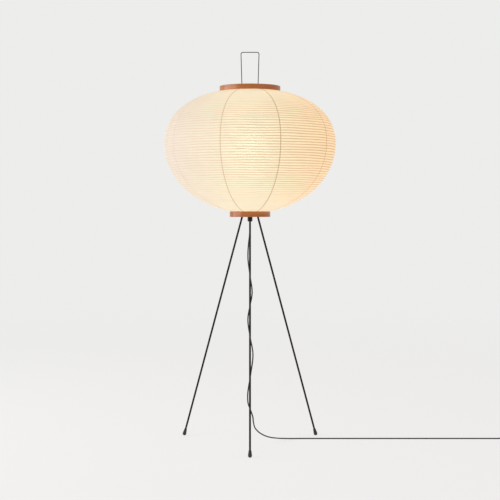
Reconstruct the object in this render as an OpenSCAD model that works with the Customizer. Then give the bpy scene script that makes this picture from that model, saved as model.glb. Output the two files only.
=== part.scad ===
// Paper lantern floor lamp. A ribbed paper lantern is held open by a bent wire
// stretcher, and stands on a hub plate with three rod legs screwed into it.
// Millimetres, +Z up. The origin is on the floor, under the lantern's axis, and
// the front leg points to -Y.

/* [Stand] */
// Height of the bottom ring's lower edge above the floor
stand_h = 703.7; // [600:0.1:800]
// Diameter of the leg rods
leg_d = 6; // [5:0.5:7]
// Lean of each leg from upright, in degrees
leg_lean = 17.15; // [14:0.05:19]
// Distance of each leg's axis from the lamp's axis, at the hub plate
leg_top_r = 24.5; // [23:0.5:26]
// Wall of the sockets that the legs screw into
socket_wall = 2.6; // [2:0.1:3]
// Length of the sockets along the leg
socket_l = 10.8; // [8:0.1:11]
// Widest diameter of a rubber foot
foot_d = 11.7; // [10:0.1:14]
// Length of a rubber foot along the leg
foot_l = 21.5; // [18:0.5:26]
// Wall of a rubber foot at its upper end
foot_wall = 1.3; // [1:0.1:2]

/* [Rings] */
// Outside diameter of the bottom ring
bottom_ring_d = 126; // [120:1:150]
// Height of the bottom ring
bottom_ring_h = 17.1; // [15:0.1:22]
// Outside diameter of the top ring
top_ring_d = 188; // [170:1:220]
// Height of the top ring
top_ring_h = 15.5; // [14:0.1:20]
// Thickness of a ring's outer band
ring_wall = 4; // [3:0.5:5]
// Thickness of a ring's inner band
liner_wall = 5; // [4:0.5:6]
// Height of the bottom ring's inner band, which is the hub plate's seat
seat_h = 12.3; // [11.9:0.1:13]
// Height of the crossbar's seat above the top ring's lower edge
bar_seat_h = 4.6; // [4:0.1:6]
// Rounding of the rings' edges
ring_edge = 0.9; // [0.4:0.1:1.2]

/* [Paper] */
// Widest diameter of the lantern, over the paper
shade_d = 530; // [450:5:600]
// Height of the paper between the two rings
shade_h = 371.2; // [340:0.1:420]
// Height of the widest level above the bottom ring
belly_h = 207.2; // [190:0.1:220]
// Fullness of the curve below the widest level, where 2 is an ellipse
low_power = 2; // [1.8:0.02:2.6]
// Fullness of the curve above the widest level
top_power = 2.28; // [1.8:0.02:2.6]
// Spacing of the bamboo ribs along the paper
rib_pitch = 8; // [7:0.1:12]
// Width of a rib, along the paper
rib_w = 1.4; // [1:0.1:2]
// Depth of a rib, into the lantern
rib_t = 0.9; // [0.6:0.1:1.4]
// Thickness of the paper with its glue
paper_t = 0.8; // [0.6:0.1:1.2]
// Width of the paper that is glued to each ring
paper_lap = 3; // [2:0.5:3.5]
// Number of paper strips, and of the threads between them
strips = 9; // [6:1:12]
// Diameter of the threads that space the ribs
thread_d = 1; // [0.8:0.1:1.4]

/* [Stretcher] */
// Diameter of the stretcher's wire
wire_d = 2.5; // [2:0.1:3]
// Distance of each wire from the axis, at the hub plate
wire_foot_x = 38; // [37:0.5:40]
// Distance of each wire from the axis, where the crossbar slides
wire_slide_x = 24.8; // [22:0.2:27]
// Distance of each wire from the axis, at the top of the loop
wire_loop_x = 28; // [26:0.2:32]
// Height of the loop's wire above the top ring
loop_h = 105.2; // [80:0.1:130]
// Radius of the loop's two corners
loop_corner = 6; // [4:0.5:8]
// Radius of the other bends in the wire
wire_bend = 14; // [10:1:16]
// Width of the crossbar
bar_w = 14; // [12:1:20]
// Thickness of the crossbar
bar_t = 1.6; // [1.2:0.1:2]
// Diameter of the grommets' flanges
grommet_d = 9.2; // [8.6:0.2:11]
// Diameter of the grommets' necks, in the crossbar
grommet_neck_d = 6; // [5:0.2:6.6]
// Height of the grommets
grommet_h = 6; // [5:0.5:7]
// Distance that the top ring slides down the wires
shade_travel = 105; // [60:1:106]
// Diameter of the collars on the wire's feet
collar_d = 7; // [6:0.2:7.6]
// Height of the collars
collar_h = 4; // [3:0.5:4.5]

/* [Hub and stem] */
// Thickness of the hub plate
plate_t = 2; // [1.6:0.2:3]
// Distance of the plate's vent slots from the axis
vent_r = 47; // [46:0.5:48]
// Width of the vent slots
vent_w = 6; // [4:0.5:6]
// Outside diameter of the stem tube
stem_d = 10; // [9:0.5:11]
// Wall of the stem tube
stem_wall = 1.5; // [1:0.1:1.6]
// Height of the stem tube above the hub plate
stem_rise = 94; // [80:1:100]
// Diameter of the washers on the stem
washer_d = 20; // [19:0.5:24]
// Thickness of the washers on the stem
washer_t = 1.5; // [1:0.1:1.6]
// Size of the stem's nut across its flats
nut_flats = 17; // [16:0.5:20]
// Height of the stem's nut
nut_h = 6; // [4:0.5:8]
// Diameter of the cord gland
gland_d = 15.3; // [15:0.1:18]
// Length of the gland below the bottom ring
gland_drop = 14.3; // [13:0.1:20]

/* [Lampholder and bulb] */
// Diameter of the lampholder's cap and lower body
holder_d = 38; // [36:0.5:44]
// Wall of the lampholder
holder_wall = 2; // [1.6:0.1:2.4]
// Height of the lampholder's cap
holder_cap_h = 27; // [25:0.5:32]
// Height of the lampholder's body
holder_body_h = 38; // [36:0.5:40]
// Height of the insulating insert
insert_h = 9; // [8:0.5:10]
// Outside diameter of the shade ring on the lampholder
holder_ring_d = 50; // [48:0.5:54]
// Height of the shade ring
holder_ring_h = 6; // [5:0.5:8]
// Diameter of the bulb's screw cap
bulb_cap_d = 26; // [25:0.1:27]
// Height of the bulb's screw cap
bulb_cap_h = 23; // [22:0.5:24]
// Diameter of the bulb
bulb_d = 60; // [55:1:62]
// Length of the bulb from its contact to its top
bulb_l = 108; // [104:1:109]
// Thickness of the glass
glass_t = 1; // [0.6:0.1:1.5]

/* [Cord] */
// Diameter of the cord
cord_d = 4; // [3.6:0.1:4.2]
// Length of the inline switch
switch_l = 56; // [50:1:58]
// Width of the inline switch
switch_w = 22; // [20:1:26]
// Thickness of the inline switch
switch_t = 14; // [14:0.5:17]
// Length of the rocker
rocker_l = 17; // [14:0.5:18]
// Width of the rocker
rocker_w = 10; // [8:0.5:11]
// Diameter of the rocker's pivot
pivot_d = 2; // [1.6:0.1:2.4]
// Swing of the rocker, in degrees
rocker_swing = 14; // [10:1:16]
// Length of the plug's body with its strain relief
plug_l = 48; // [46:1:52]
// Length of the strain relief, within that
relief_l = 20; // [18:1:22]
// Width of the plug's body
plug_w = 34; // [32:0.5:36]
// Thickness of the plug's body
plug_t = 13.6; // [13:0.1:14.4]
// Diameter of the plug's pins
pin_d = 4; // [3.8:0.1:4.8]
// Length of the plug's pins
pin_l = 19; // [17:0.5:20]
// Distance between the plug's pins
pin_gap = 19; // [18:0.5:20]

/* [Hidden] */
// Running clearance on a radius, for a piece that turns or slides in another
run_gap = 0.05;
// Clearance of a glued, screwed or trapped piece
seat_gap = 0.1;
// Clearance of the paper from the rings
soft_gap = 0.3;
// Amount that a cutting solid stands past the surface that it cuts
over = 1;

// Heights of the main levels
plate_z = stand_h + seat_h;
plate_top_z = plate_z + plate_t;
paper_z = stand_h + bottom_ring_h;
belly_z = paper_z + belly_h;
top_z = paper_z + shade_h;
bar_top_z = top_z + bar_seat_h;
bar_mid_z = bar_top_z - bar_t / 2;
stem_top_z = plate_top_z + stem_rise;
gland_z = stand_h - gland_drop;

// Radii that the rings' pieces share
bottom_bore_r = bottom_ring_d / 2 - ring_wall;
top_bore_r = top_ring_d / 2 - ring_wall;
wire_r = wire_d / 2;

// ---- helpers -------------------------------------------------------------

// Outline of a band from radius r0 to r1 and height z0 to z1, with round edges
function band(r0, r1, z0, z1, edge) = [
    for (corner = [0:3], step = [0:3])
        let(a = 90 * corner + 30 * step,
            x = corner == 0 || corner == 3 ? r1 - edge : r0 + edge,
            y = corner < 2 ? z1 - edge : z0 + edge)
        [x + edge * cos(a), y + edge * sin(a)]
];

// Solid of revolution of an outline of [radius, height] points
module turned(outline, fn = 96) {
    rotate_extrude($fn = fn) polygon(outline);
}

// Tube with a wall between two radii
module pipe(r_out, r_in, h, fn = 48) {
    difference() {
        cylinder(h = h, r = r_out, $fn = fn);
        translate([0, 0, -over]) cylinder(h = h + 2 * over, r = r_in, $fn = fn);
    }
}

// Places its children at the two wires of the stretcher
module both_sides(x) {
    for (side = [-1, 1]) translate([side * x, 0, 0]) children();
}

// ---- lantern's curve -----------------------------------------------------

shade_r = shade_d / 2;
// Share of the widest radius at each ring's outer edge
low_share = bottom_ring_d / shade_d;
top_share = top_ring_d / shade_d;
// Half height of each superellipse, so that it meets its ring's outer edge
low_rise = belly_h / pow(1 - pow(low_share, low_power), 1 / low_power);
top_rise = (shade_h - belly_h) / pow(1 - pow(top_share, top_power), 1 / top_power);
low_end = -acos(pow(low_share, low_power / 2));
top_end = acos(pow(top_share, top_power / 2));

// Point of the lantern's outline at angle a, from low_end up to top_end
function outline_at(a) =
    let(power = a < 0 ? low_power : top_power, rise = a < 0 ? -low_rise : top_rise)
    [shade_r * pow(cos(a), 2 / power), belly_z + rise * pow(abs(sin(a)), 2 / power)];

// Table of [length along the outline, angle], for spacing the ribs evenly
trace_steps = 240;
trace_step = (top_end - low_end) / trace_steps;
trace = [
    for (i = 0, run = 0; i <= trace_steps;
         run = run + norm(outline_at(low_end + (i + 1) * trace_step) - outline_at(low_end + i * trace_step)),
         i = i + 1)
        [run, low_end + i * trace_step]
];
trace_l = trace[trace_steps][0];
bays = round(trace_l / rib_pitch);

// Point of the outline at rib i, where 0 and the last one are the two rings
function rib_point(i) = outline_at(lookup(i * trace_l / bays, trace));

// Unit normal of the outline at rib i, out of the lantern
function rib_normal(i) =
    let(t = rib_point(min(bays, i + 0.25)) - rib_point(max(0, i - 0.25)))
    [t[1], -t[0]] / norm(t);

// Point at rib i that lies depth inside the outline
function inside(i, depth) = rib_point(i) - depth * rib_normal(i);

// ---- bent wire -----------------------------------------------------------

function unit(v) = v / norm(v);

// Direction from corner i of a path of [x, z, radius] to the next, in degrees
// from straight up and positive towards +X
function heading(path, i) = atan2(path[i + 1][0] - path[i][0], path[i + 1][1] - path[i][1]);

// Turn at corner i, from -180 to 180 degrees, and none at the two ends
function turn_at(path, i) =
    i == 0 || i == len(path) - 1 ? 0 :
    (heading(path, i) - heading(path, i - 1) + 540) % 360 - 180;

// Length from corner i to where its bend starts
function bend_cut(path, i) = path[i][2] * tan(abs(turn_at(path, i)) / 2);

// Length that each straight runs on into its bends, and the amount that a bend
// is thicker than the wire, on a radius, so that the straight ends inside it
bend_seat = 0.3;
bend_swell = 0.02;

// Wire of diameter d in the XZ plane, drawn on from each bend to the next one.
// Both of its ends are cut square
module bent_wire(path, d) {
    translate([path[0][0], 0, path[0][1]])
        rotate([0, heading(path, 0), 0]) wire_from(path, d, 0);
}

module wire_from(path, d, i) {
    far = [path[i + 1][0] - path[i][0], path[i + 1][1] - path[i][1]];
    l = norm(far) - bend_cut(path, i) - bend_cut(path, i + 1);
    turn = turn_at(path, i + 1);
    r = path[i + 1][2];
    side = turn < 0 ? 180 : 0;
    sunk = [i == 0 ? 0 : bend_seat, turn == 0 ? 0 : bend_seat];
    translate([0, 0, -sunk[0]]) cylinder(h = l + sunk[0] + sunk[1], d = d, $fn = 32);
    if (i + 2 < len(path))
        translate([0, 0, l])
            rotate([0, 0, side])
                translate([r, 0, 0]) {
                    rotate([-90, 0, 0])
                        rotate_extrude(angle = abs(turn), start = 180, $fn = 96)
                            translate([r, 0]) circle(r = d / 2 + bend_swell, $fn = 32);
                    rotate([0, abs(turn), 0])
                        translate([-r, 0, 0]) rotate([0, 0, side]) wire_from(path, d, i + 1);
                }
}

// ---- tubes ---------------------------------------------------------------

// Direction of a smooth curve at point i, where the nearer neighbour counts more
function slope_at(pts, i) =
    i == 0 ? unit(pts[1] - pts[0]) :
    i == len(pts) - 1 ? unit(pts[i] - pts[i - 1]) :
    let(a = pts[i] - pts[i - 1], b = pts[i + 1] - pts[i])
    (a / norm(a) * norm(b) + b / norm(b) * norm(a)) / (norm(a) + norm(b));

// Smooth curve through a list of points, with some steps in each stretch
function curve(pts, steps) = [
    for (i = [0:len(pts) - 2])
        let(b = pts[i], c = pts[i + 1], l = norm(c - b), n = l > long_stretch ? 1 : steps)
        for (k = [0:n - 1])
            let(t = k / n, s = 1 - t)
            (1 + 2 * t) * s * s * b + t * s * s * l * slope_at(pts, i)
            + t * t * (3 - 2 * t) * c - t * t * s * l * slope_at(pts, i + 1),
    pts[len(pts) - 1]
];

function tangent(pts, i) = unit(pts[min(len(pts) - 1, i + 1)] - pts[max(0, i - 1)]);
function square_to(v, t) = unit(v - t * (v * t));

// Tube of diameter d along a line of points, as rings carried without twist
module tube(pts, d, sides) {
    n = len(pts);
    sidesteps = [
        for (i = 0, s = square_to([0.2, 0.1, 1], tangent(pts, 0)); i < n;
             i = i + 1, s = square_to(s, tangent(pts, min(i, n - 1))))
            square_to(s, tangent(pts, i))
    ];
    points = [
        for (i = [0:n - 1], k = [0:sides - 1])
            pts[i] + d / 2 * (cos(360 * k / sides) * sidesteps[i]
                              + sin(360 * k / sides) * cross(tangent(pts, i), sidesteps[i]))
    ];
    walls = [
        for (i = [0:n - 2], k = [0:sides - 1])
            let(m = (k + 1) % sides)
            [i * sides + k, (i + 1) * sides + k, (i + 1) * sides + m, i * sides + m]
    ];
    first = [for (k = [0:sides - 1]) k];
    last = [for (k = [sides - 1:-1:0]) (n - 1) * sides + k];
    polyhedron(points, concat(walls, [first, last]), convexity = 8);
}

// ---- rings ---------------------------------------------------------------

module bottom_ring() {
    color("sienna")
        turned(band(bottom_bore_r, bottom_ring_d / 2, stand_h, paper_z, ring_edge));
}

module bottom_ring_liner() {
    liner_r = bottom_bore_r - seat_gap;
    color("peru")
        turned(band(liner_r - liner_wall, liner_r, stand_h, plate_z, ring_edge / 2));
}

module top_ring() {
    color("sienna")
        turned(band(top_bore_r, top_ring_d / 2, top_z, top_z + top_ring_h, ring_edge));
}

liner_top_r = top_bore_r - seat_gap;
bar_screw_x = liner_top_r - liner_wall / 2;
bar_screw_d = 2;
bar_screw_l = 6;

module top_ring_liner() {
    color("peru")
        difference() {
            turned(band(liner_top_r - liner_wall, liner_top_r,
                        bar_top_z, top_z + top_ring_h, ring_edge / 2));
            both_sides(bar_screw_x)
                translate([0, 0, bar_top_z - over])
                    cylinder(h = bar_screw_l + seat_gap + over, d = bar_screw_d + 2 * run_gap, $fn = 24);
        }
}

// ---- paper, ribs and threads ---------------------------------------------

// The paper runs straight from each rib to the next
module paper_shade() {
    skin = [for (i = [0:bays]) inside(i, 0)];
    back = [for (i = [bays:-1:0]) inside(i, paper_t)];
    low_z = paper_z + soft_gap;
    high_z = top_z - soft_gap;
    low_r = bottom_ring_d / 2;
    high_r = top_ring_d / 2;
    outline = concat(
        [[low_r - paper_lap, low_z], [low_r, low_z]],
        [for (i = [1:len(skin) - 2]) skin[i]],
        [[high_r, high_z], [high_r - paper_lap, high_z], [high_r - paper_lap, high_z - paper_t]],
        [for (i = [1:len(back) - 2]) back[i]],
        [[low_r - paper_lap, low_z + paper_t]]
    );
    color("cornsilk") turned(outline, 128);
}

module bamboo_ribs() {
    color("burlywood")
        for (i = [1:bays - 1]) {
            n = rib_normal(i);
            along = [-n[1], n[0]] * rib_w / 2;
            outer = inside(i, paper_t + seat_gap);
            inner = outer - rib_t * n;
            rotate_extrude($fn = 96)
                polygon([outer - along, inner - along, inner + along, outer + along]);
        }
}

module seam_threads() {
    depth = paper_t + seat_gap + rib_t + seat_gap + thread_d / 2;
    // The line runs over every second rib, and ends beside the two rings
    places = concat([1], [for (i = [2:2:bays - 2]) i], [bays - 1]);
    line = [for (i = places) let(p = inside(i, depth)) [p[0], 0, p[1]]];
    color("tan")
        for (k = [0:strips - 1])
            rotate([0, 0, 360 * (k + 0.5) / strips - 90]) tube(line, thread_d, 6);
}

// ---- stretcher and crossbar ----------------------------------------------

loop_z = top_z + top_ring_h + loop_h;
kink_z = bar_mid_z + grommet_h / 2 + 6;
// The shoulder's bend ends just under the lowest place of the grommets
shoulder_top_z = bar_mid_z - grommet_h / 2 - shade_travel - 4.5;
shoulder_z = shoulder_top_z - 40;
wire_end_z = plate_z - collar_h - 1;
kink_bend = 80;
// Lean of the loop's sides, which part from the axis over the kink
kink_lean = atan2(wire_loop_x - wire_slide_x, loop_z - kink_z);
// The two side wires meet the loop square, a little past the end of this bend
kink_run = kink_bend * tan(abs(kink_lean) / 2) + 1;
loop_foot_x = wire_slide_x + kink_run * sin(kink_lean);
loop_foot_z = kink_z + kink_run * cos(kink_lean);

module stretcher_wire() {
    color("dimgray")
        for (side = [-1, 1])
            bent_wire([
                [side * wire_foot_x, wire_end_z, 0],
                [side * wire_foot_x, shoulder_z, wire_bend],
                [side * wire_slide_x, shoulder_top_z, wire_bend],
                [side * wire_slide_x, kink_z, kink_bend],
                [side * loop_foot_x, loop_foot_z, 0]
            ], wire_d);
}

module carrying_loop() {
    color("dimgray")
        bent_wire([
            [-loop_foot_x, loop_foot_z, 0],
            [-wire_loop_x, loop_z, loop_corner],
            [wire_loop_x, loop_z, loop_corner],
            [loop_foot_x, loop_foot_z, 0]
        ], wire_d);
}

module stretcher_collars() {
    color("gray")
        both_sides(wire_foot_x)
            for (z = [plate_z - collar_h, plate_top_z])
                translate([0, 0, z]) pipe(collar_d / 2, wire_r + run_gap, collar_h, 32);
}

module crossbar() {
    end_r = top_bore_r - soft_gap;
    color("dimgray")
        translate([0, 0, bar_top_z - bar_t])
            difference() {
                intersection() {
                    translate([-end_r - over, -bar_w / 2, 0]) cube([2 * (end_r + over), bar_w, bar_t]);
                    translate([0, 0, -over]) cylinder(h = bar_t + 2 * over, r = end_r, $fn = 128);
                }
                both_sides(wire_slide_x)
                    translate([0, 0, -over])
                        cylinder(h = bar_t + 2 * over, d = grommet_neck_d + 2 * run_gap, $fn = 32);
                both_sides(bar_screw_x)
                    translate([0, 0, -over])
                        cylinder(h = bar_t + 2 * over, d = bar_screw_d + 2 * seat_gap, $fn = 24);
            }
}

module bar_grommets() {
    neck_r = grommet_neck_d / 2;
    flange_r = grommet_d / 2;
    half = grommet_h / 2;
    slot = bar_t / 2 + run_gap;
    bore_r = wire_r + run_gap;
    outline = [
        [bore_r, -half], [flange_r - 0.6, -half], [flange_r, -half + 0.6], [flange_r, -slot],
        [neck_r, -slot], [neck_r, slot], [flange_r, slot], [flange_r, half - 0.6],
        [flange_r - 0.6, half], [bore_r, half]
    ];
    color("black")
        both_sides(wire_slide_x) translate([0, 0, bar_mid_z]) turned(outline, 32);
}

module bar_screws() {
    head_r = 1.9;
    head_h = 1.4;
    outline = [
        [0, -head_h], [head_r - 0.7, -head_h], [head_r, -head_h / 2], [head_r, 0],
        [bar_screw_d / 2, 0], [bar_screw_d / 2, bar_t + bar_screw_l], [0, bar_t + bar_screw_l]
    ];
    color("silver")
        both_sides(bar_screw_x) translate([0, 0, bar_top_z - bar_t]) turned(outline, 24);
}

// ---- hub and stem --------------------------------------------------------

vents = 6;
vent_arc = 34;

module vent() {
    translate([0, 0, -over])
        rotate([0, 0, -vent_arc / 2]) {
            rotate_extrude(angle = vent_arc, $fn = 96)
                translate([vent_r - vent_w / 2, 0]) square([vent_w, plate_t + 2 * over]);
            for (a = [0, vent_arc])
                rotate([0, 0, a])
                    translate([vent_r, 0, 0]) cylinder(h = plate_t + 2 * over, d = vent_w, $fn = 24);
        }
}

module hub_plate() {
    color("dimgray")
        translate([0, 0, plate_z])
            difference() {
                cylinder(h = plate_t, r = bottom_bore_r - soft_gap, $fn = 128);
                translate([0, 0, -over])
                    cylinder(h = plate_t + 2 * over, r = stem_d / 2 + seat_gap, $fn = 48);
                both_sides(wire_foot_x)
                    translate([0, 0, -over])
                        cylinder(h = plate_t + 2 * over, r = wire_r + seat_gap, $fn = 24);
                for (k = [0:vents - 1]) rotate([0, 0, 360 * (k + 0.5) / vents]) vent();
            }
}

module stem_tube() {
    foot_z = gland_z + gland_grip + soft_gap;
    color("goldenrod")
        translate([0, 0, foot_z]) pipe(stem_d / 2, stem_d / 2 - stem_wall, stem_top_z - foot_z);
}

module stem_washers() {
    color("silver")
        for (z = [plate_z - washer_t, plate_top_z])
            translate([0, 0, z]) pipe(washer_d / 2, stem_d / 2 + seat_gap, washer_t);
}

module stem_nut() {
    color("goldenrod")
        translate([0, 0, plate_top_z + washer_t])
            difference() {
                cylinder(h = nut_h, d = nut_flats / cos(30), $fn = 6);
                translate([0, 0, -over])
                    cylinder(h = nut_h + 2 * over, r = stem_d / 2 + run_gap, $fn = 48);
            }
}

// Length of the gland's lower part, which grips the cord below the stem
gland_grip = 7.6;
gland_flutes = 12;

module cord_gland() {
    r = gland_d / 2;
    top = plate_z - washer_t - gland_z;
    edge = 2.6;
    skirt = [for (a = [-90:15:0]) [r - edge + edge * cos(a), edge + edge * sin(a)]];
    color("black")
        translate([0, 0, gland_z])
            difference() {
                turned(concat([[cord_d / 2 + seat_gap, 0]], skirt,
                              [[r, top], [stem_d / 2 + run_gap, top], [stem_d / 2 + run_gap, gland_grip],
                               [cord_d / 2 + seat_gap, gland_grip]]), 64);
                for (k = [0:gland_flutes - 1])
                    rotate([0, 0, 360 * (k + 0.5) / gland_flutes])
                        translate([r + 0.5, 0, -over]) cylinder(h = top - 3 + over, r = 1.1, $fn = 16);
            }
}

// ---- legs ----------------------------------------------------------------

legs = ["front", "right", "left"];
function leg_turn(name) = name == "front" ? -90 : name == "right" ? 30 : 150;

// Distance of a leg's axis from the lamp's axis at height z
function leg_r(z) = leg_top_r + (plate_z - z) * tan(leg_lean);

foot_r = foot_d / 2;
// Each foot's lower end is a ball, cut flat by this much where it stands
foot_flat = 0.4;
ball_z = foot_r - foot_flat;
leg_bore_floor = 1.5;

// Places its children with +Z up along a leg, from the middle of the foot's ball
module along_leg(name) {
    rotate([0, 0, leg_turn(name)])
        translate([leg_r(ball_z), 0, ball_z])
            rotate([0, -leg_lean, 0]) children();
}

module leg(name) {
    // The rod stops inside its socket, with its upper edge just under the plate
    end_z = plate_z - soft_gap - leg_d / 2 * sin(leg_lean) - 0.4;
    l = (end_z - ball_z) / cos(leg_lean) - leg_bore_floor;
    color("#35261f")
        along_leg(name) translate([0, 0, leg_bore_floor]) cylinder(h = l, d = leg_d, $fn = 48);
}

module leg_front() {
    leg("front");
}

module leg_right() {
    leg("right");
}

module leg_left() {
    leg("left");
}

module foot(name) {
    neck_r = leg_d / 2 + foot_wall;
    ball = [for (a = [-90:15:0]) [foot_r * cos(a), foot_r * sin(a)]];
    top = foot_l - foot_r;
    // A cosine eases the widest level into the neck
    taper = [for (t = [0.2:0.2:1]) [neck_r + (foot_r - neck_r) * (1 + cos(180 * t)) / 2, t * (top - 1)]];
    color("#2b2726")
        difference() {
            along_leg(name)
                difference() {
                    turned(concat(ball, taper, [[neck_r - 0.5, top], [0, top]]), 48);
                    translate([0, 0, leg_bore_floor])
                        cylinder(h = top, d = leg_d + 2 * run_gap, $fn = 48);
                }
            rotate([0, 0, leg_turn(name)])
                translate([leg_r(0) - foot_d, -foot_d, -foot_d]) cube([2 * foot_d, 2 * foot_d, foot_d]);
        }
}

module foot_front() {
    foot("front");
}

module foot_right() {
    foot("right");
}

module foot_left() {
    foot("left");
}

// Angled sockets, welded to the plate's underside
module leg_sockets() {
    r = leg_d / 2 + socket_wall;
    color("gray")
        for (name = legs)
            difference() {
                rotate([0, 0, leg_turn(name)])
                    translate([leg_top_r, 0, plate_z])
                        rotate([0, -leg_lean, 0])
                            translate([0, 0, -socket_l]) pipe(r, leg_d / 2 + run_gap, socket_l + leg_d);
                rotate([0, 0, leg_turn(name)])
                    translate([leg_top_r - 3 * r, -2 * r, plate_z]) cube([6 * r, 4 * r, 3 * leg_d]);
            }
}

// ---- lampholder ----------------------------------------------------------

cap_grip = 9;
cap_z = stem_top_z - cap_grip;
body_z = cap_z + holder_cap_h;
holder_r = holder_d / 2;
holder_lip_r = holder_r + 1.2;
step_h = 2;
insert_z = body_z + step_h;
shell_z = insert_z + insert_h;
shell_t = 0.6;
shell_r = bulb_cap_d / 2 + run_gap;
contact_h = 5;
rivet_r = 1.5;

module holder_cap() {
    r = holder_r;
    w = holder_wall;
    neck_r = stem_d / 2 + 4.5;
    h = holder_cap_h;
    bore_r = stem_d / 2 + run_gap;
    outline = [
        [bore_r, 0], [neck_r - 1, 0], [neck_r, 1], [neck_r, 7],
        [neck_r + (r - neck_r) * 0.5, 11], [r - 1.6, 16], [r, 22], [r, h], [r - w, h], [r - w, 22.4],
        [r - w - 1.7, 17], [neck_r + (r - neck_r) * 0.5 - 1.4, 12.6], [neck_r - 2.5, 10], [bore_r, 10]
    ];
    color("ivory") translate([0, 0, cap_z]) turned(outline, 64);
}

module holder_body() {
    r = holder_r;
    lip = holder_lip_r;
    h = holder_body_h;
    bore_r = r - holder_wall + 0.5;
    outline = [
        [bore_r - 2.5, 0], [r, 0], [r, 21.5], [lip, 22.7], [lip, h - 1], [lip - 1, h], [bore_r, h],
        [bore_r, step_h], [bore_r - 2.5, step_h]
    ];
    color("ivory") translate([0, 0, body_z]) turned(outline, 64);
}

module holder_ring() {
    r = holder_ring_d / 2;
    notches = 24;
    color("ivory")
        translate([0, 0, body_z + 26])
            difference() {
                turned(band(holder_lip_r + run_gap, r, 0, holder_ring_h, 0.8), 64);
                for (k = [0:notches - 1])
                    rotate([0, 0, 360 * k / notches])
                        translate([r + 0.7, 0, -over])
                            cylinder(h = holder_ring_h + 2 * over, r = 1.3, $fn = 16);
            }
}

module holder_insert() {
    r = holder_r - holder_wall + 0.5 - seat_gap;
    color("white")
        translate([0, 0, insert_z])
            difference() {
                turned(band(rivet_r + seat_gap, r, 0, insert_h, 0.4), 64);
                both_sides(10)
                    translate([0, 0, -over]) cylinder(h = insert_h - 2 + over, r = 2.2, $fn = 24);
            }
}

module screw_shell() {
    flange_r = shell_r - 4;
    h = 23;
    color("goldenrod")
        translate([0, 0, shell_z])
            turned([[flange_r, 0], [shell_r + shell_t, 0], [shell_r + shell_t, h], [shell_r, h],
                    [shell_r, shell_t], [flange_r, shell_t]], 64);
}

module centre_contact() {
    w = 5;
    t = 0.5;
    half = 7;
    // A strip folded over itself, whose upper leaf presses on the bulb
    leaf = [
        [-half, 0], [half, 0], [half + 0.6, 0.8], [half, 1.6], [2, contact_h], [-4, contact_h],
        [-4, contact_h - t], [1.8, contact_h - t], [half - 0.5, 1.2], [half - 0.5, t], [-half, t]
    ];
    color("gold")
        translate([0, 0, shell_z]) {
            translate([0, w / 2, 0]) rotate([90, 0, 0]) linear_extrude(w) polygon(leaf);
            translate([0, 0, -insert_h / 2]) cylinder(h = insert_h / 2 + t, r = rivet_r, $fn = 24);
        }
}

// ---- bulb ----------------------------------------------------------------

bulb_z = shell_z + contact_h + soft_gap;
tip_h = 1.8;
glass_foot_h = tip_h + 3 + bulb_cap_h;
neck_r = bulb_cap_d / 2;
ball_r = bulb_d / 2;
ball_h = bulb_l - ball_r;

// Radius of the glass at height z over the bulb's contact: a smooth step from
// the neck up to the ball's middle, and a circle above it
function bulb_r(z, inset) =
    z < ball_h
    ? let(t = (z - glass_foot_h) / (ball_h - glass_foot_h))
      neck_r - inset + (ball_r - neck_r) * t * t * (3 - 2 * t)
    : sqrt(max(0, pow(ball_r - inset, 2) - pow(z - ball_h, 2)));

module bulb_glass() {
    neck_zs = [for (t = [0:0.1:0.95]) glass_foot_h + t * (ball_h - glass_foot_h)];
    function wall(inset) = concat(
        [for (z = neck_zs) [bulb_r(z, inset), z]],
        [for (a = [0:9:90]) let(r = ball_r - inset) [r * cos(a), ball_h + r * sin(a)]]
    );
    outer = wall(0);
    inner = wall(glass_t);
    color("white", 0.6)
        translate([0, 0, bulb_z])
            turned(concat(outer, [for (i = [len(inner) - 1:-1:0]) inner[i]]), 64);
}

module bulb_cap() {
    r = neck_r;
    low = tip_h + 3;
    color("silver")
        translate([0, 0, bulb_z])
            turned([[r - 1, low], [r - 0.4, low], [r, low + 1],
                    [r, glass_foot_h], [r - 1, glass_foot_h]], 64);
}

module bulb_contact() {
    color("dimgray")
        translate([0, 0, bulb_z])
            turned([[0, 0], [3.6, 0], [4.4, 0.8], [4.4, tip_h], [neck_r - 1.6, tip_h + 2.6],
                    [neck_r - 1.2, tip_h + 3.4], [0, tip_h + 3.4]], 48);
}

// ---- cord and what is on it ----------------------------------------------

// The cord's route, from inside the gland, down and round the front leg, over
// the floor, through the switch and up to the coil
route = [
    [0, 0, 692], [0, 0, 682], [-0.5, -5, 666], [-1.5, -17, 648], [-4, -36, 626], [-6, -53, 603],
    [-6.4, -66, 580], [0, -89.5, 526], [6.4, -100, 472], [0, -104, 435], [-6.4, -122.5, 398],
    [0, -145, 346], [8.8, -154, 295], [1.5, -166.5, 232], [-7, -192, 170], [-5.5, -204.5, 153],
    [1, -211, 136], [7.8, -208, 116], [10, -194, 97], [13.5, -172, 78], [22, -142, 61],
    [36, -105, 44], [55, -60, 28], [77, -12, 15.5], [100, 24, 7.5], [128, 43, 3.6], [165, 51, 2.4],
    [205, 52, 2.2], [240, 52, 2.2], [700, 52, 2.2], [776, 52, 2.2], [785, 52, 2.2], [800, 52, 4.2],
    [815, 52, 6.2], [823, 52, 6.2], [860, 52, 6.2], [868, 52, 6.2], [881, 52, 4.2], [894, 52, 2.2]
];
// A stretch longer than this is straight and takes no points of its own
long_stretch = 75;
run_y = 52;
switch_x = 814;
switch_z = 6.2;
coil_x = 908;
coil_r = 22;
coil_layers = 4;
coil_y = run_y + coil_r + cord_d / 2;
coil_h = coil_layers * cord_d;
tail = [[922, 52, 12.2], [928, 52, 10.2], [935, 52, 7.8], [942, 52, 6.9], [946, 52, 6.9]];
plug_x = 941;
plug_z = 6.9;

module stem_lead() {
    lead_z = route[0][2];
    color("dimgray")
        translate([0, 0, lead_z]) cylinder(h = insert_z - soft_gap - lead_z, d = cord_d, $fn = 32);
}

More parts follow.
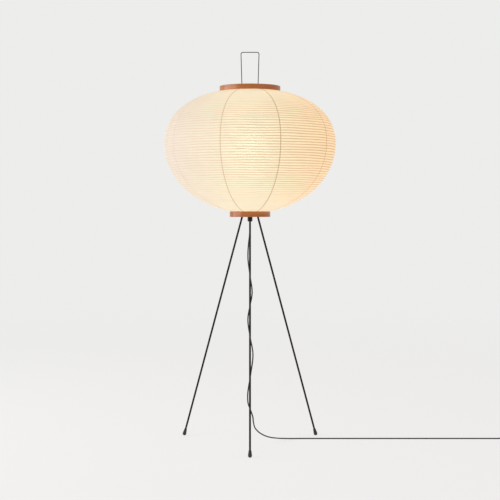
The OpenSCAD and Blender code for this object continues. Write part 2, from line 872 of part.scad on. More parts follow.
module cord() {
    color("#423d3d") tube(curve(route, 2), cord_d, 8);
}

// Outer shape of the wound cord: two turns wide, a few layers high
module cord_coil() {
    color("#423d3d")
        translate([coil_x, coil_y, 0])
            turned(band(coil_r - cord_d, coil_r + cord_d, 0, coil_h, 1.2), 64);
}

module coil_tie() {
    t = 0.8;
    w_turn = 16;
    color("black")
        translate([coil_x, coil_y, 0])
            rotate([0, 0, 90 - w_turn / 2])
                rotate_extrude(angle = w_turn, $fn = 96)
                    difference() {
                        translate([coil_r - cord_d - seat_gap - t, 0])
                            square([2 * (cord_d + seat_gap + t), coil_h + seat_gap + t]);
                        translate([coil_r - cord_d - seat_gap, -over])
                            square([2 * (cord_d + seat_gap), coil_h + seat_gap + over]);
                    }
}

module cord_tail() {
    color("#423d3d") tube(curve(tail, 2), cord_d, 8);
}

plug_body_l = plug_l - relief_l;
// Grooves let the strain relief bend
groove_pitch = 3.2;
groove_w = 1.2;

// Flat two-pin plug, lying on the floor with its pins pointing away
module plug_body() {
    bore_r = cord_d / 2 + seat_gap;
    half = plug_w / 2;
    // Half outline of the body seen from above, from the cord's side to the pins'
    side = [[0, 6], [5, 8.5], [12, half - 2.5], [16, half], [24, half], [plug_body_l, half - 2]];
    outline = concat(side, [for (i = [len(side) - 1:-1:0]) [side[i][0], -side[i][1]]]);
    z0 = -plug_z;
    z1 = plug_t - plug_z;
    profile = [[0, -4.6], [7, z0], [plug_body_l - 1.5, z0], [plug_body_l, z0 + 1.5],
               [plug_body_l, z1 - 1.5], [plug_body_l - 1.5, z1], [7, z1], [0, 4.6]];
    color("black")
        translate([plug_x, run_y, plug_z])
            difference() {
                union() {
                    translate([relief_l, 0, 0])
                        intersection() {
                            translate([0, 0, -plug_t]) linear_extrude(2 * plug_t) polygon(outline);
                            translate([0, plug_w, 0])
                                rotate([90, 0, 0]) linear_extrude(2 * plug_w) polygon(profile);
                        }
                    rotate([0, 90, 0])
                        difference() {
                            cylinder(h = relief_l + 1, r1 = 3.4, r2 = 4.6, $fn = 32);
                            for (g = [groove_pitch:groove_pitch:relief_l - groove_pitch])
                                translate([0, 0, g]) pipe(6, 3, groove_w, 32);
                        }
                }
                rotate([0, 90, 0])
                    translate([0, 0, -over]) cylinder(h = 6 + over, r = bore_r, $fn = 32);
                for (side = [-1, 1])
                    translate([relief_l + plug_body_l - pin_root, side * pin_gap / 2, 0])
                        rotate([0, 90, 0]) cylinder(h = pin_root + over, r = pin_root_r + run_gap, $fn = 32);
            }
}

// Length of each pin inside the plug's body, where it is thinner
pin_root = 8;
pin_root_r = pin_d / 2 - 0.5;

module plug_pins() {
    r = pin_d / 2;
    l = pin_root + pin_l;
    start = pin_root + soft_gap;
    color("silver")
        for (side = [-1, 1])
            translate([plug_x + plug_l - pin_root, run_y + side * pin_gap / 2, plug_z])
                rotate([0, 90, 0])
                    turned([[0, 0], [pin_root_r, 0], [pin_root_r, start], [r, start],
                            [r, l - 1.2], [r - 1.2, l], [0, l]], 32);
}

// ---- inline switch -------------------------------------------------------

switch_mid_x = switch_x + switch_l / 2;
split_z = switch_z;
switch_screw_x = switch_l / 2 - 8;
switch_screw_y = 6.2;
pivot_z = switch_t - 3.4;
rocker_gap = 0.4;

// The switch's whole outer form, on the floor and centred on its middle
module switch_form() {
    end_r = switch_w / 2;
    rise = 3;
    side = [[-switch_l / 2, rise], [-switch_l / 2 + rise, 0], [switch_l / 2 - rise, 0], [switch_l / 2, rise],
            [switch_l / 2, switch_t - rise - 1], [switch_l / 2 - rise - 3, switch_t],
            [-switch_l / 2 + rise + 3, switch_t], [-switch_l / 2, switch_t - rise - 1]];
    intersection() {
        linear_extrude(switch_t) union() {
            square([switch_l - 2 * end_r, switch_w], center = true);
            for (s = [-1, 1]) translate([s * (switch_l / 2 - end_r), 0]) circle(r = end_r, $fn = 48);
        }
        translate([0, switch_w, 0]) rotate([90, 0, 0]) linear_extrude(2 * switch_w) polygon(side);
    }
}

module switch_cord_bore() {
    translate([-switch_l / 2 - over, 0, switch_z])
        rotate([0, 90, 0]) cylinder(h = switch_l + 2 * over, r = cord_d / 2 + seat_gap, $fn = 32);
}

// Places its children at the switch's two screws, at opposite corners
module at_switch_screws() {
    for (s = [-1, 1]) translate([s * switch_screw_x, s * switch_screw_y, 0]) children();
}

module switch_base() {
    color("black")
        translate([switch_mid_x, run_y, 0])
            difference() {
                switch_form();
                translate([-switch_l, -switch_w, split_z]) cube([2 * switch_l, 2 * switch_w, switch_t]);
                switch_cord_bore();
                at_switch_screws() {
                    translate([0, 0, -over]) cylinder(h = switch_t, d = 2.2 + 2 * run_gap, $fn = 24);
                    translate([0, 0, -over]) cylinder(h = 2 + over, d = 4.4, $fn = 24);
                }
            }
}

module switch_cover() {
    well_l = rocker_l + 2 * rocker_gap;
    well_w = rocker_w + 2 * rocker_gap;
    color("black")
        translate([switch_mid_x, run_y, 0])
            difference() {
                switch_form();
                translate([-switch_l, -switch_w, split_z - switch_t])
                    cube([2 * switch_l, 2 * switch_w, switch_t]);
                switch_cord_bore();
                // The well that the rocker sits in
                translate([-well_l / 2, -well_w / 2, switch_z + cord_d / 2 + 0.8])
                    cube([well_l, well_w, switch_t]);
                translate([0, rocker_w / 2 + 2, pivot_z])
                    rotate([90, 0, 0]) cylinder(h = rocker_w + 4, d = pivot_d + 2 * run_gap, $fn = 24);
                at_switch_screws()
                    translate([0, 0, -over]) cylinder(h = 11 + over, d = 2.2 + 2 * run_gap, $fn = 24);
            }
}

module switch_screws() {
    color("silver")
        translate([switch_mid_x, run_y, 0])
            at_switch_screws() {
                translate([0, 0, 0.6]) cylinder(h = 1.4, d = 4, $fn = 24);
                translate([0, 0, 2]) cylinder(h = 8.5, d = 2.2, $fn = 24);
            }
}

// The rocker rests with its far end down, which is on
module switch_rocker() {
    half = rocker_l / 2 - 0.4;
    tilt = rocker_swing / 2;
    // Two flat halves meet over the pivot at the angle that the rocker swings
    rise = 3;
    top = [[half, rise + half * tan(tilt)], [0, rise], [-half, rise + half * tan(tilt)]];
    keel = [[-half, 0.2], [-2.5, -1.1], [2.5, -1.1], [half, 0.2]];
    color("dimgray")
        translate([switch_mid_x, run_y, pivot_z])
            rotate([0, tilt, 0]) {
                translate([0, rocker_w / 2, 0])
                    rotate([90, 0, 0])
                        linear_extrude(rocker_w) polygon(concat(keel, top));
                translate([0, rocker_w / 2 + 1.6, 0])
                    rotate([90, 0, 0]) cylinder(h = rocker_w + 3.2, d = pivot_d, $fn = 24);
            }
}

top_ring();
top_ring_liner();
crossbar();
bar_grommets();
bar_screws();
paper_shade();
bamboo_ribs();
seam_threads();
bottom_ring();
bottom_ring_liner();
stretcher_wire();
carrying_loop();
stretcher_collars();
hub_plate();
leg_sockets();
leg_front();
leg_right();
leg_left();
foot_front();
foot_right();
foot_left();
stem_tube();
stem_washers();
stem_nut();
cord_gland();
stem_lead();
holder_cap();
holder_body();
holder_ring();
holder_insert();
screw_shell();
centre_contact();
bulb_glass();
bulb_cap();
bulb_contact();
cord();
switch_base();
switch_cover();
switch_rocker();
switch_screws();
cord_coil();
coil_tie();
cord_tail();
plug_body();
plug_pins();
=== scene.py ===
# Paper lantern floor lamp: the finish of every piece, the lit paper with its
# ribs and threads, and the cord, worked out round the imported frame
import math
import bpy
import numpy as np
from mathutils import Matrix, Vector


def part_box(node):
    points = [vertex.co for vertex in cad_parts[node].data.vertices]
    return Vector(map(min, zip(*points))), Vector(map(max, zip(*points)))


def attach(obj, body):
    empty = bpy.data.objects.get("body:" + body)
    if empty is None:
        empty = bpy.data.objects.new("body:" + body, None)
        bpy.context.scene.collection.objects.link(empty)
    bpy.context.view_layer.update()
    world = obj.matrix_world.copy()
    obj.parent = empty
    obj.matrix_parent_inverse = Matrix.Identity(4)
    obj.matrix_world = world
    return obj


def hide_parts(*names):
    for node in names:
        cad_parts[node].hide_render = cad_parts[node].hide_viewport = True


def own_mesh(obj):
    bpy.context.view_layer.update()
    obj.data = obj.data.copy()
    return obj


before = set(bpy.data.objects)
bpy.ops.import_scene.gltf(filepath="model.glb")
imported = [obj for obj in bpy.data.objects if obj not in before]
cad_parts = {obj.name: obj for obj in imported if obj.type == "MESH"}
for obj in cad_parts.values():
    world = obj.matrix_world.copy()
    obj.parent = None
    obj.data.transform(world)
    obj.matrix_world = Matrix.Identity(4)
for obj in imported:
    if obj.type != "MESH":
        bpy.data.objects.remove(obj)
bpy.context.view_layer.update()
print("frame loaded,", len(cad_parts), "pieces")

view = {
    "distance": 3.910,   # metres in front of the lamp's axis
    "height": 0.7267,    # metres above the floor
    "pitch": 1.844,      # degrees down
    "lens": 90.58,       # millimetres
    "sensor": 36,
    "farthest": 60,      # metres
}


def makeCamera():
    data = bpy.data.cameras.new("camera")
    data.lens = view["lens"]
    data.sensor_width = view["sensor"]
    data.clip_end = view["farthest"]
    camera = bpy.data.objects.new("camera", data)
    camera.location = (0, -view["distance"], view["height"])
    camera.rotation_euler = (math.radians(90 - view["pitch"]), 0, 0)
    bpy.context.scene.collection.objects.link(camera)
    bpy.context.scene.camera = camera


makeCamera()


def meshFrom(name, points, quads, uv=None, caps=()):
    # points is (n, 3), quads is (m, 4), uv has a pair for each corner of each quad, and caps are
    # flat end faces
    mesh = bpy.data.meshes.new(name)
    faces = quads.tolist() + [[int(k) for k in cap] for cap in caps]
    mesh.from_pydata(points.tolist(), [], faces)
    if uv is not None:
        pairs = np.concatenate([uv.reshape(-1, 2), np.zeros((sum(len(c) for c in caps), 2))])
        mesh.uv_layers.new(name="strip").data.foreach_set("uv", pairs.astype(np.float32).ravel())
    mesh.polygons.foreach_set("use_smooth", [True] * len(quads) + [False] * len(caps))
    mesh.update()
    piece = bpy.data.objects.new(name, mesh)
    bpy.context.scene.collection.objects.link(piece)
    return piece


def gridQuads(rows, columns, closedRows=False, closedColumns=True):
    # corner numbers of the faces between neighbouring rows and columns of points
    r = np.arange(rows if closedRows else rows - 1)
    c = np.arange(columns if closedColumns else columns - 1)
    r, c = np.meshgrid(r, c, indexing="ij")
    r2, c2 = (r + 1) % rows, (c + 1) % columns
    corners = [r * columns + c, r * columns + c2, r2 * columns + c2, r2 * columns + c]
    return np.stack(corners, axis=-1).reshape(-1, 4)


def gridUv(u, v):
    # the same faces' corners, from the u of each column line and the v of each row
    u0, v0 = np.meshgrid(u[:-1], v[:-1])
    u1, v1 = np.meshgrid(u[1:], v[1:])
    corners = [(u0, v0), (u1, v0), (u1, v1), (u0, v1)]
    return np.stack([np.stack(pair, axis=-1) for pair in corners], axis=2).reshape(-1, 4, 2)


def smoothStep(t):
    # 3t^2 - 2t^3 between 0 and 1
    t = np.clip(t, 0, 1)
    return t * t * (3 - 2 * t)


def lengthAlong(path):
    return np.concatenate([[0], np.cumsum(np.linalg.norm(np.diff(path, axis=0), axis=1))])


def tubeParts(path, radius, sides):
    # a circle carried along the path, turned about it as little as the path itself turns
    along = np.gradient(path, axis=0)
    along /= np.linalg.norm(along, axis=1, keepdims=True)
    side = np.zeros_like(path)
    s = np.array([0.2, 0.1, 1.0])   # a direction that no tube starts in
    for i, t in enumerate(along):
        s = s - t * (s @ t)
        s = s / np.linalg.norm(s)
        side[i] = s
    other = np.cross(along, side)
    turn = 2 * np.pi * np.arange(sides) / sides
    ring = np.cos(turn)[:, None] * side[:, None] + np.sin(turn)[:, None] * other[:, None]
    points = (path[:, None] + radius * ring).reshape(-1, 3)
    uv = gridUv(np.arange(sides + 1) / sides, lengthAlong(path))
    first = np.arange(sides)[::-1]
    return points, gridQuads(len(path), sides), uv, [first, first[::-1] + (len(path) - 1) * sides]


def joined(name, parts):
    # one mesh from several sets of points, quads, uv and caps
    start, points, quads, uv, caps = 0, [], [], [], []
    for p, q, w, c in parts:
        points.append(p)
        quads.append(q + start)
        uv.append(w)
        caps += [cap + start for cap in c]
        start += len(p)
    return meshFrom(name, np.concatenate(points), np.concatenate(quads), np.concatenate(uv), caps)


def settle(piece, slot, *nodes):
    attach(piece, "stand")
    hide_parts(*nodes)


flex = {
    "thick": 0.004,
    "sides": 12,
    "steps": 6,              # points in each stretch of the route
    "coilMiddle": (0.908, 0.076),
    "innerTurn": 0.020,
    "outerTurn": 0.024,
    "layers": 4,             # of two turns each
    "pointsPerTurn": 40,
    "crossing": (120, 240),  # degrees of each turn in which it moves on to the next place
}
# From inside the gland, down and round the front leg, over the floor, through the switch
route = [
    (0, 0, 0.692), (0, 0, 0.682), (-0.0005, -0.005, 0.666), (-0.0015, -0.017, 0.648),
    (-0.004, -0.036, 0.626), (-0.006, -0.053, 0.603), (-0.0064, -0.066, 0.580),
    (0, -0.0895, 0.526), (0.0064, -0.100, 0.472), (0, -0.104, 0.435), (-0.0064, -0.1225, 0.398),
    (0, -0.145, 0.346), (0.0088, -0.154, 0.295), (0.0015, -0.1665, 0.232), (-0.007, -0.192, 0.170),
    (-0.0055, -0.2045, 0.153), (0.001, -0.211, 0.136), (0.0078, -0.208, 0.116),
    (0.010, -0.194, 0.097), (0.0135, -0.172, 0.078), (0.022, -0.142, 0.061),
    (0.036, -0.105, 0.044), (0.055, -0.060, 0.028), (0.077, -0.012, 0.0155),
    (0.100, 0.024, 0.0075), (0.128, 0.043, 0.0036), (0.165, 0.051, 0.0024), (0.205, 0.052, 0.0022),
    (0.240, 0.052, 0.0022), (0.700, 0.052, 0.0022), (0.776, 0.052, 0.0022), (0.785, 0.052, 0.0022),
    (0.800, 0.052, 0.0042), (0.815, 0.052, 0.0062), (0.823, 0.052, 0.0062), (0.860, 0.052, 0.0062),
    (0.868, 0.052, 0.0062), (0.881, 0.052, 0.0042), (0.894, 0.052, 0.0022),
]
tail = [
    (0.922, 0.052, 0.0122), (0.928, 0.052, 0.0102), (0.935, 0.052, 0.0078),
    (0.942, 0.052, 0.0069), (0.946, 0.052, 0.0069),
]


def smoothCurve(points, steps):
    # a cubic between each two points, whose slope at a point leans to the nearer neighbour
    p = np.array(points, float)
    gap = np.diff(p, axis=0)
    size = np.linalg.norm(gap, axis=1, keepdims=True)
    unit = gap / size
    inside = (unit[:-1] * size[1:] + unit[1:] * size[:-1]) / (size[:-1] + size[1:])
    slope = np.concatenate([unit[:1], inside, unit[-1:]])
    t = (np.arange(steps) / steps)[None, :, None]
    s = 1 - t
    leave = t * s * s * size[:, None] * slope[:-1, None]
    arrive = t * t * s * size[:, None] * slope[1:, None]
    line = (1 + 2 * t) * s * s * p[:-1, None] + t * t * (3 - 2 * t) * p[1:, None] + leave - arrive
    return np.concatenate([line.reshape(-1, 3), p[-1:]])


def coilTurns():
    # turns lie beside and on each other: each at its own radius and layer, with a smooth change between
    turns = [flex["outerTurn"], flex["innerTurn"]]
    place = []
    for layer in range(flex["layers"]):
        place += [(radius, (layer + 0.5) * flex["thick"]) for radius in turns]
        turns.reverse()
    place = np.array(place)
    n = flex["pointsPerTurn"]
    turn = np.arange(len(place) * n) / n
    k = turn.astype(int)
    start, end = flex["crossing"]
    share = smoothStep(((turn - k) * 360 - start) / (end - start))[:, None]
    after = np.minimum(k + 1, len(place) - 1)
    now = place[k] * (1 - share) + place[after] * share
    a = 2 * np.pi * turn - np.pi / 2
    x, y = flex["coilMiddle"]
    return np.stack([x + now[:, 0] * np.cos(a), y + now[:, 0] * np.sin(a), now[:, 1]], axis=1)


def makeCord():
    steps = flex["steps"]
    path = np.concatenate([smoothCurve(route, steps), coilTurns(), smoothCurve(tail, steps)])
    piece = joined("flex_cord", [tubeParts(path, flex["thick"] / 2, flex["sides"])])
    settle(piece, "cord_sheath", "cord", "cord_coil", "cord_tail")
    return piece


cord = makeCord()

lantern = {
    "bays": 72,              # spaces along the paper, with a rib between each two
    "belly": 0.2072,         # height of the widest level over the bottom ring
    "lowPower": 2.0,         # superellipse powers below and above that level
    "topPower": 2.28,
    "thick": 0.0008,
    "dip": 0.0007,           # how far the paper draws in between two ribs
    "lap": 0.003,            # glued under each ring
    "ringGap": 0.0003,
    "waver": 0.0009,         # how far a rib wanders up and down
    "uneven": 0.00035,       # how far a whole rib lies off its even spacing
    "strips": 9,
    "firstSeam": -70,        # degrees, so that a strip's middle faces the front
    # degrees that each seam lies off its even spacing
    "seamShift": [-0.3, 0.4, -0.5, 0.2, 0.6, -0.4, 0.1, -0.2, 0.9],
    "outlineSteps": 800,     # in each half of the outline
    "rowsPerBay": 4,
    "columnsPerStrip": 16,
    "ribWide": 0.0014,
    "ribDeep": 0.0009,
    "ribGap": 0.00015,       # from the paper's back to the ribs, and from the ribs to the threads
    "ribColumns": 120,
    "thread": 0.0010,
    "threadSides": 6,
    "bulbHeight": 0.924,     # of the light's middle
}
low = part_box("bottom_ring")[1]
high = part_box("top_ring")[0]
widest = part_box("paper_shade")[1].x
lowRadius = low.x
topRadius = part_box("top_ring")[1].x


def outlineTable():
    # two superellipse arcs that meet at the widest level, and end at the rings' outer edges
    belly = low.z + lantern["belly"]
    halves = []
    for power, end, ring in [(lantern["lowPower"], low.z, lowRadius),
                             (lantern["topPower"], high.z, topRadius)]:
        share = ring / widest
        rise = (end - belly) / (1 - share ** power) ** (1 / power)
        a = np.linspace(math.acos(share ** (power / 2)), 0, lantern["outlineSteps"])
        radius = widest * np.cos(a) ** (2 / power)
        height = belly + rise * np.sin(a) ** (2 / power)
        halves.append(np.stack([radius, height], axis=1))
    line = np.concatenate([halves[0], halves[1][::-1][1:]])
    run = lengthAlong(line)
    return line, run / run[-1], run[-1]


outline, outlineShare, outlineLength = outlineTable()


def outlineAt(share):
    return np.stack([np.interp(share, outlineShare, outline[:, i]) for i in range(2)], axis=-1)


def outlineSlope(share):
    # unit direction along the outline, upwards
    step = 0.0015   # of the outline's length
    t = outlineAt(np.clip(share + step, 0, 1)) - outlineAt(np.clip(share - step, 0, 1))
    return t / np.linalg.norm(t, axis=-1, keepdims=True)


waves = {
    "seed": 7,
    "count": 16,
    "bows": (2, 15),         # of a wave, round the lantern
    "twist": 0.9,            # radians, the most by which a wave shifts from one rib to the next
    "phase": 6.28,           # radians, the most at which one starts
    "size": (0.4, 1),
    "sumOver": 3,            # brings their sum to about one
    "calmRibs": 5,           # ribs next to each ring, over which the waves die away
}
waveDraw = np.random.default_rng(waves["seed"])
waveSet = [(int(waveDraw.integers(*waves["bows"])), waveDraw.uniform(-waves["twist"], waves["twist"]),
            waveDraw.uniform(0, waves["phase"]), waveDraw.uniform(*waves["size"]))
           for _ in range(waves["count"])]
ribOffset = waveDraw.normal(0, 1, lantern["bays"] + 1)


def wander(angle, place):
    # sum of slow waves round the lantern, which change little from one rib to the next
    total = sum(size * np.sin(n * angle + k * place + phase) for n, k, phase, size in waveSet)
    fromTop = lantern["bays"] - place
    calm = smoothStep(place / waves["calmRibs"]) * smoothStep(fromTop / waves["calmRibs"])
    whole = np.interp(place, np.arange(lantern["bays"] + 1), ribOffset)
    return calm * (lantern["waver"] * total / waves["sumOver"] + lantern["uneven"] * whole)


def onLantern(angle, place, depth, along=0.0):
    # point at an angle and a place counted in ribs, a depth inside the outline and some way along it
    share = np.clip(place / lantern["bays"] + wander(angle, place) / outlineLength, 0, 1)
    slope = outlineSlope(share)
    out = np.stack([slope[..., 1], -slope[..., 0]], axis=-1)
    p = outlineAt(share) - np.asarray(depth)[..., None] * out + np.asarray(along)[..., None] * slope
    return np.stack([p[..., 0] * np.cos(angle), p[..., 0] * np.sin(angle), p[..., 1]], axis=-1)


def glowOn(points):
    # light from a lamp at the middle: the cosine of its angle to the paper over the distance squared
    away = points - np.array([0, 0, lantern["bulbHeight"]])
    far = np.linalg.norm(away, axis=1)
    flat = np.hypot(points[:, 0], points[:, 1])
    share = np.interp(points[:, 2], outline[:, 1], outlineShare)
    slope = outlineSlope(share)
    facing = (away[:, 2] * -slope[:, 0] + flat * slope[:, 1]) / far
    return facing * (widest / far) ** 2


def seamAngles(turns=1):
    # degrees of each seam, and of the same seams again for each further turn
    k = np.arange(lantern["strips"] * turns + 1)
    shift = np.array(lantern["seamShift"])[k % lantern["strips"]]
    return lantern["firstSeam"] + 360 / lantern["strips"] * k + shift


def makePaper():
    # the outer face, the lap under the top ring, the inner face and the lap under the bottom ring, as one
    # closed loop of rows, each row going round the lantern
    bays, per = lantern["bays"], lantern["rowsPerBay"]
    columns = lantern["strips"] * lantern["columnsPerStrip"]
    place = np.arange(1, bays * per) / per
    angle = 2 * np.pi * (np.arange(columns) + 0.5) / columns
    a, p = np.meshgrid(angle, place)
    dip = lantern["dip"] * np.sin(np.pi * (p % 1)) ** 2
    outer = onLantern(a, p, dip)
    inner = onLantern(a, p, dip + lantern["thick"])

    def hoop(radius, z):
        return np.stack([radius * np.cos(angle), radius * np.sin(angle), np.full(columns, z)], axis=1)[None]

    lap, t = lantern["lap"], lantern["thick"]
    lowZ, highZ = low.z + lantern["ringGap"], high.z - lantern["ringGap"]
    rows = np.concatenate([
        hoop(lowRadius - lap, lowZ), hoop(lowRadius, lowZ), outer,
        hoop(topRadius, highZ), hoop(topRadius - lap, highZ), hoop(topRadius - lap, highZ - t),
        inner[::-1], hoop(lowRadius - lap, lowZ + t)])
    v = np.concatenate([[0, 0], place, [bays] * 3, place[::-1], [0], [0]]) / bays
    points = rows.reshape(-1, 3)
    lines = 360 * (np.arange(columns + 1) + 0.5) / columns
    seams = seamAngles(turns=2)
    uv = gridUv(np.interp(lines, seams, np.arange(len(seams))), v)   # whole numbers at the seams
    piece = meshFrom("lantern_paper", points, gridQuads(len(rows), columns, closedRows=True), uv)
    glow = piece.data.attributes.new("glow", "FLOAT", "POINT")
    glow.data.foreach_set("value", glowOn(points).astype(np.float32))
    settle(piece, "lit_paper", "paper_shade")
    return piece


def makeRibs():
    # each rib is a hoop of four-cornered section that follows the paper's back
    columns, bays = lantern["ribColumns"], lantern["bays"]
    back = lantern["thick"] + lantern["ribGap"]
    corners = [(0, -0.5), (1, -0.5), (1, 0.5), (0, 0.5)]
    angle = 2 * np.pi * np.arange(columns) / columns
    place, a, k = np.meshgrid(np.arange(1, bays), angle, np.arange(4), indexing="ij")
    depth = back + np.array([c[0] for c in corners])[k] * lantern["ribDeep"]
    along = np.array([c[1] for c in corners])[k] * lantern["ribWide"]
    points = onLantern(a, place, depth, along).reshape(-1, 3)
    one = gridQuads(columns, 4, closedRows=True)
    quads = (one[None] + (np.arange(bays - 1) * columns * 4)[:, None, None]).reshape(-1, 4)
    uv = np.tile(gridUv(np.arange(5) / 4, np.arange(columns + 1) / columns), (bays - 1, 1, 1))
    piece = meshFrom("bamboo_hoops", points, quads, uv)
    piece.data.polygons.foreach_set("use_smooth", [False] * len(quads))
    settle(piece, "bamboo", "bamboo_ribs")
    return piece


def makeThreads():
    # a thread inside each seam, over all the ribs
    bays = lantern["bays"]
    depth = lantern["thick"] + 2 * lantern["ribGap"] + lantern["ribDeep"] + lantern["thread"] / 2
    place = np.arange(2, 2 * bays - 1) / 2   # from the first rib to the last, by half bays
    parts = []
    for seam in np.radians(seamAngles()[:-1]):
        line = onLantern(np.full(len(place), seam), place, np.full(len(place), depth))
        parts.append(tubeParts(line, lantern["thread"] / 2, lantern["threadSides"]))
    piece = joined("spacing_threads", parts)
    settle(piece, "thread", "seam_threads")
    return piece


paper = makePaper()
ribs = makeRibs()
threads = makeThreads()
print("lantern made,", sum(len(p.data.polygons) for p in (paper, ribs, threads)), "faces")

for piece in (paper, ribs, threads):
    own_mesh(piece)


def tone(r, g, b):
    # a colour as it looks on a screen, from 0 to 255, made linear
    def linear(c):
        c = c / 255
        return c / 12.92 if c <= 0.04045 else ((c + 0.055) / 1.055) ** 2.4
    return (linear(r), linear(g), linear(b), 1)


def put(tree, kind, inputs=None, **settings):
    # adds a node, whose inputs are given by name or number as values or as sockets to link
    node = tree.nodes.new("ShaderNode" + kind)
    for key, value in settings.items():
        setattr(node, key, value)
    for key, value in (inputs or {}).items():
        if isinstance(value, bpy.types.NodeSocket):
            tree.links.new(value, node.inputs[key])
        else:
            node.inputs[key].default_value = value
    return node


def calc(tree, operation, *values):
    return put(tree, "Math", dict(enumerate(values)), operation=operation).outputs[0]


def blendOf(tree, share, a, b, mode="MIX"):
    return put(tree, "Mix", {0: share, 6: a, 7: b}, data_type="RGBA", blend_type=mode).outputs[2]


def fade(tree, value, start, end, least=0.0, most=1.0):
    inputs = {"Value": value, "From Min": start, "From Max": end, "To Min": least, "To Max": most}
    return put(tree, "MapRange", inputs, interpolation_type="SMOOTHSTEP").outputs[0]


def noise(tree, vector, scale=1.0, detail=2.0, rough=0.5):
    inputs = {"Vector": vector, "Scale": scale, "Detail": detail, "Roughness": rough}
    return put(tree, "TexNoise", inputs).outputs["Fac"]


def stretched(tree, vector, x, y, z):
    return put(tree, "VectorMath", {0: vector, 1: (x, y, z)}, operation="MULTIPLY").outputs[0]


def scaleBy(tree, vector, scale):
    return put(tree, "VectorMath", {0: vector, "Scale": scale}, operation="SCALE").outputs[0]


def inObject(tree):
    return put(tree, "TexCoord").outputs["Object"]


def split(tree, vector):
    return put(tree, "SeparateXYZ", {0: vector}).outputs


def product(tree, first, *others):
    for value in others:
        first = calc(tree, "MULTIPLY", first, value)
    return first


def fromAxis(tree, place):
    squares = [calc(tree, "POWER", place[i], 2.0) for i in range(2)]
    return calc(tree, "SQRT", calc(tree, "ADD", *squares))


def offWhole(tree, value):
    # how far a value lies from the nearest whole number
    share = calc(tree, "FRACT", calc(tree, "ADD", value, 0.5))
    return calc(tree, "ABSOLUTE", calc(tree, "SUBTRACT", share, 0.5))


def newGroup(name, inputs, outputs):
    group = bpy.data.node_groups.new(name, "ShaderNodeTree")
    for label, kind, value in inputs:
        socket = group.interface.new_socket(label, in_out="INPUT", socket_type="NodeSocket" + kind)
        socket.default_value = value
    for label, kind in outputs:
        group.interface.new_socket(label, in_out="OUTPUT", socket_type="NodeSocket" + kind)
    given = group.nodes.new("NodeGroupInput").outputs
    return group, given, group.nodes.new("NodeGroupOutput")


def finishGroup(group, end, results):
    for label, socket in results.items():
        group.links.new(socket, end.inputs[label])
    return group


grainLook = {
    "fineShare": 0.55,       # of the tone, and the broad bands have the rest
    "toneEdges": (0.36, 0.66),
    "broadBands": (0.6, 0.6, 0.16),   # against the fine grain, along it twice and across it
    "poreBands": (3.0, 3.0, 1.6),
    "poreEdges": (0.62, 0.72),
    "poreDark": 0.35,
    "poreRough": 0.25,       # more than the wood's own
    "poreDeep": 0.6,
    "rough": 0.34,
}


def makeGrain():
    # wood grain that runs round the lamp's axis, over the edges as fine rings
    group, given, end = newGroup("grain", [
        ("Light", "Color", (0.5, 0.3, 0.1, 1)), ("Dark", "Color", (0.2, 0.1, 0.04, 1)),
        ("Length", "Float", 0.06), ("Width", "Float", 0.0012)],
        [("Colour", "Color"), ("Rough", "Float"), ("Height", "Float")])
    look = grainLook
    place = split(group, inObject(group))
    x, y = [calc(group, "DIVIDE", place[i], given["Length"]) for i in range(2)]
    across = calc(group, "ADD", calc(group, "DIVIDE", place[2], given["Width"]),
                  calc(group, "DIVIDE", fromAxis(group, place), given["Width"]))
    vector = put(group, "CombineXYZ", {0: x, 1: y, 2: across}).outputs[0]
    fine = noise(group, vector, 1.0, 5.0, 0.6)
    broad = noise(group, stretched(group, vector, *look["broadBands"]))
    tones = calc(group, "ADD", calc(group, "MULTIPLY", fine, look["fineShare"]),
                 calc(group, "MULTIPLY", broad, 1 - look["fineShare"]))
    pores = fade(group, noise(group, stretched(group, vector, *look["poreBands"])), *look["poreEdges"])
    colour = blendOf(group, fade(group, tones, *look["toneEdges"]), given["Dark"], given["Light"])
    colour = blendOf(group, calc(group, "MULTIPLY", pores, look["poreDark"]), colour, given["Dark"])
    rough = calc(group, "ADD", look["rough"], calc(group, "MULTIPLY", pores, look["poreRough"]))
    height = calc(group, "SUBTRACT", fine, calc(group, "MULTIPLY", pores, look["poreDeep"]))
    return finishGroup(group, end, {"Colour": colour, "Rough": rough, "Height": height})


unevenness = {
    "broad": 0.25,           # scales against a finish's own size
    "fine": 4.0,
    "toneEdges": (0.4, 0.7),
}


def makeSurface():
    # small unevenness of paint, metal, rubber and moulded plastic: tone, gloss and a fine relief
    group, given, end = newGroup("unevenSurface", [
        ("Tone", "Color", (0.5, 0.5, 0.5, 1)), ("Second", "Color", (0.4, 0.4, 0.4, 1)),
        ("Size", "Float", 0.004), ("Gloss", "Float", 0.4), ("Spread", "Float", 0.15)],
        [("Colour", "Color"), ("Rough", "Float"), ("Height", "Float")])
    where = scaleBy(group, inObject(group), calc(group, "DIVIDE", 1.0, given["Size"]))
    broad = noise(group, where, unevenness["broad"], 3.0)
    fine = noise(group, where, unevenness["fine"], 3.0, 0.6)
    colour = blendOf(group, fade(group, broad, *unevenness["toneEdges"]), given["Tone"], given["Second"])
    spread = calc(group, "MULTIPLY", calc(group, "SUBTRACT", broad, 0.5), given["Spread"])
    rough = calc(group, "ADD", given["Gloss"], spread)
    return finishGroup(group, end, {"Colour": colour, "Rough": rough, "Height": fine})


fibres = {
    "drift": 0.7,            # scale of the noise that bends them
    "runs": [(1.0, 5.0, 5.0), (5.0, 1.2, 6.0), (4.0, 5.0, 1.0)],   # each least along its own fibres
    "thin": 0.02,
    "cloud": 0.3,
}


